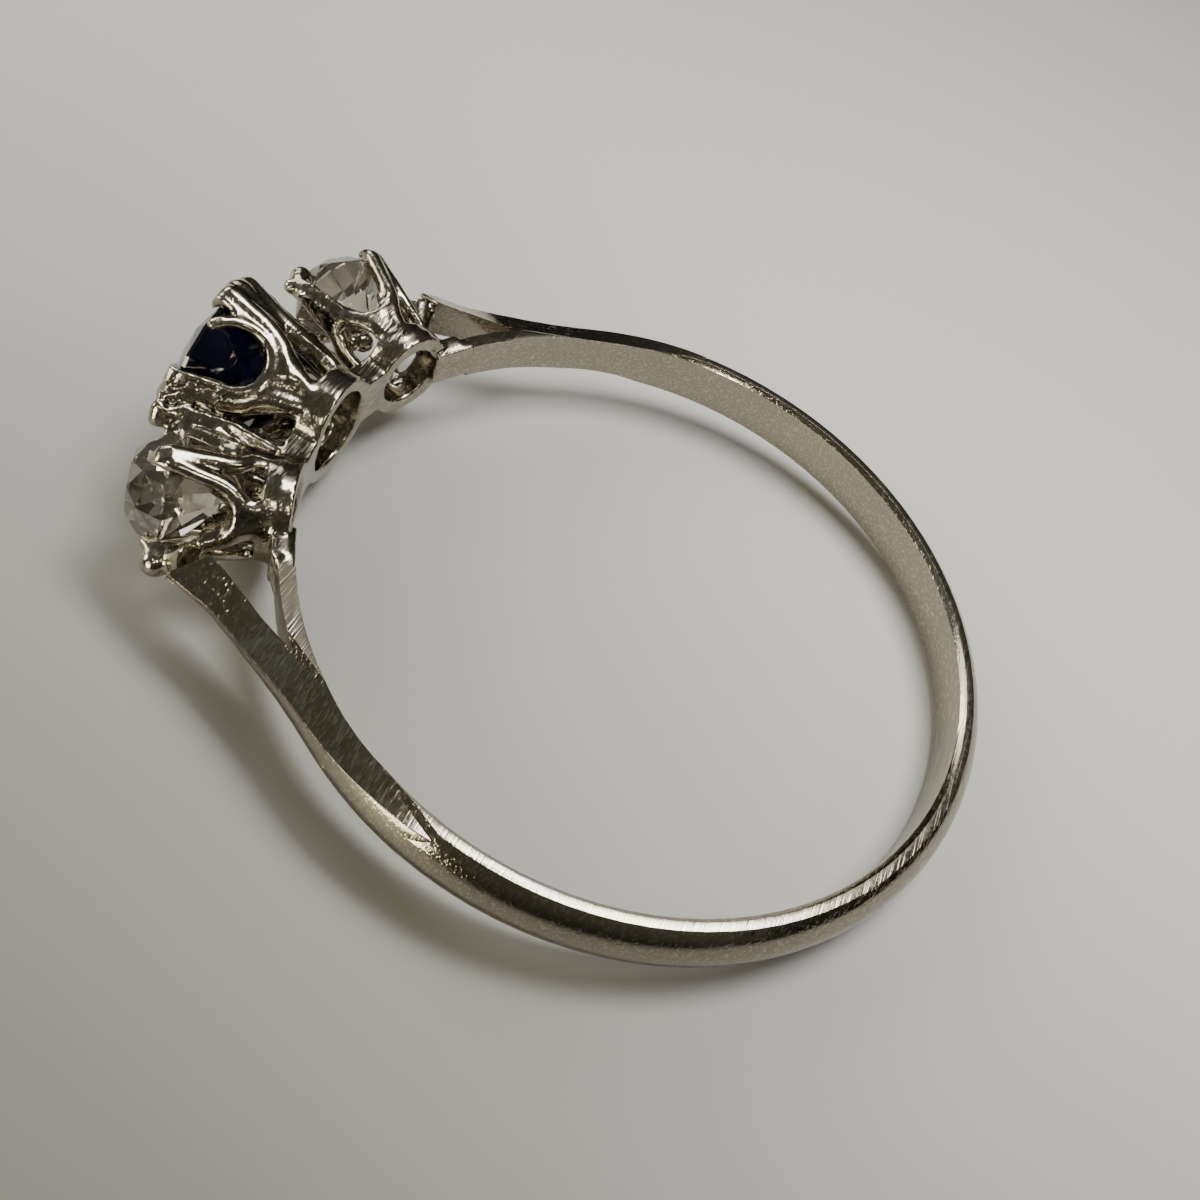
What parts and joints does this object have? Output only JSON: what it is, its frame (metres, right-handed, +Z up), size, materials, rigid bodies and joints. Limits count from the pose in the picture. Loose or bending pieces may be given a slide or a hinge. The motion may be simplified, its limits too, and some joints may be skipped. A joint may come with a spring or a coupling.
{
  "type": "three stone ring",
  "caption": "Finger ring with a split-shoulder band and a row of pierced claw coronets that hold a round dark blue stone between two smaller clear ones",
  "frame": {"origin": "middle of the bounding box's bottom face, on the table that the ring lies on", "axes": "+Z up, off the table, close to the finger axis; +X from the back of the band to the stones, along the object's length; +Y across, towards the left diamond"},
  "size_m": [0.0221, 0.0188, 0.0048],
  "materials": {
    "platinum": "worn hand-filed platinum with a soft polish",
    "sapphire": "polished facets",
    "diamond": "polished facets"
  },
  "bodies": {
    "root": {"ring_mount": "platinum", "sapphire": "sapphire", "diamond_left": "diamond", "diamond_right": "diamond"}
  },
  "joints": []
}
